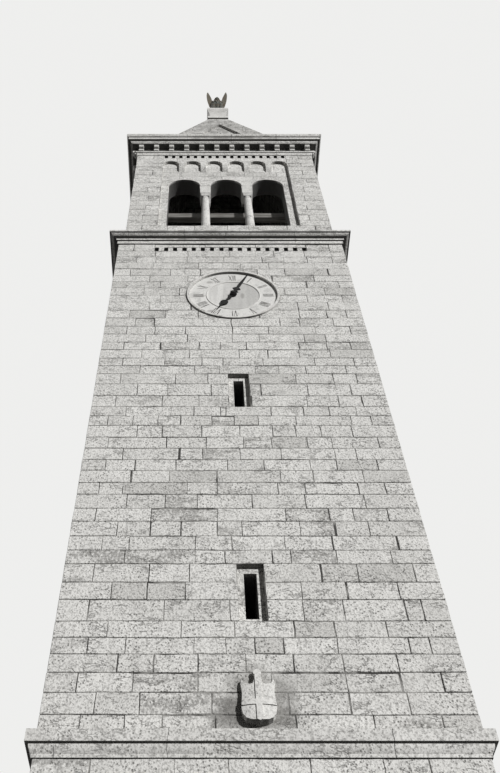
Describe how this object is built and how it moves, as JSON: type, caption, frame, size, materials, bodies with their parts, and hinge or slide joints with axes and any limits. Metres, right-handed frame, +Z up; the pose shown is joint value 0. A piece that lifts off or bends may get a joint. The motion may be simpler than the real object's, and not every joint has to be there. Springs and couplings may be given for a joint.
{
  "type": "clock tower",
  "caption": "Square stone clock tower with a dial on the front, an open arcaded belfry under a bracketed cornice, a hollow pyramid spire and a winged lion on top.",
  "frame": {"origin": "centre of the tower's plan at ground level, on the underside of the ground floor", "axes": "+Z up, the front with the clock looks along -Y, +X to the right as seen from the front"},
  "size_m": [5.9402, 5.9402, 39.8496],
  "materials": {
    "limestone": "pale pitted limestone ashlar in uneven courses with thin dark joints",
    "dial_marble": "honed pale marble, weather stained, with worn black numerals",
    "black_iron": "matte black painted iron",
    "oak_door": "weathered oak planks",
    "oak_beam": "rough sawn old oak",
    "bronze": "dark weathered bronze"
  },
  "bodies": {
    "tower": {"base_string_back": "limestone", "base_string_front": "limestone", "base_string_left": "limestone", "base_string_right": "limestone", "base_wall_back": "limestone", "base_wall_front": "limestone", "base_wall_left": "limestone", "base_wall_right": "limestone", "belfry_columns": "limestone", "belfry_cornice_back": "limestone", "belfry_cornice_front": "limestone", "belfry_cornice_left": "limestone", "belfry_cornice_right": "limestone", "belfry_floor": "limestone", "belfry_parapets": "limestone", "belfry_piers": "limestone", "bell_beams": "oak_beam", "clock_arbor": "black_iron", "clock_rim": "limestone", "cornice_brackets": "limestone", "dial": "dial_marble", "door_leaf": "oak_door", "entablature_back": "limestone", "entablature_front": "limestone", "entablature_left": "limestone", "entablature_right": "limestone", "ground_floor": "limestone", "head_wall_back": "limestone", "head_wall_front": "limestone", "head_wall_left": "limestone", "head_wall_right": "limestone", "pedestal": "limestone", "shaft_wall_back": "limestone", "shaft_wall_front": "limestone", "shaft_wall_left": "limestone", "shaft_wall_right": "limestone", "shield": "limestone", "spire_back": "limestone", "spire_cap": "limestone", "spire_front": "limestone", "spire_left": "limestone", "spire_right": "limestone", "winged_lion": "bronze"},
    "minute_hand": {"minute_hand": "black_iron"},
    "hour_hand": {"hour_hand": "black_iron"}
  },
  "joints": [
    {"name": "minute_turn", "type": "hinge", "parent": "tower", "child": "minute_hand", "pos_m": [0, -2.754, 17.95], "axis": [0, 1, 0], "continuous": true},
    {"name": "hour_turn", "type": "hinge", "parent": "tower", "child": "hour_hand", "pos_m": [0, -2.722, 17.95], "axis": [0, 1, 0], "continuous": true}
  ],
  "couplings": [
    {"joint": "hour_turn", "follows": "minute_turn", "ratio": 0.083333}
  ]
}
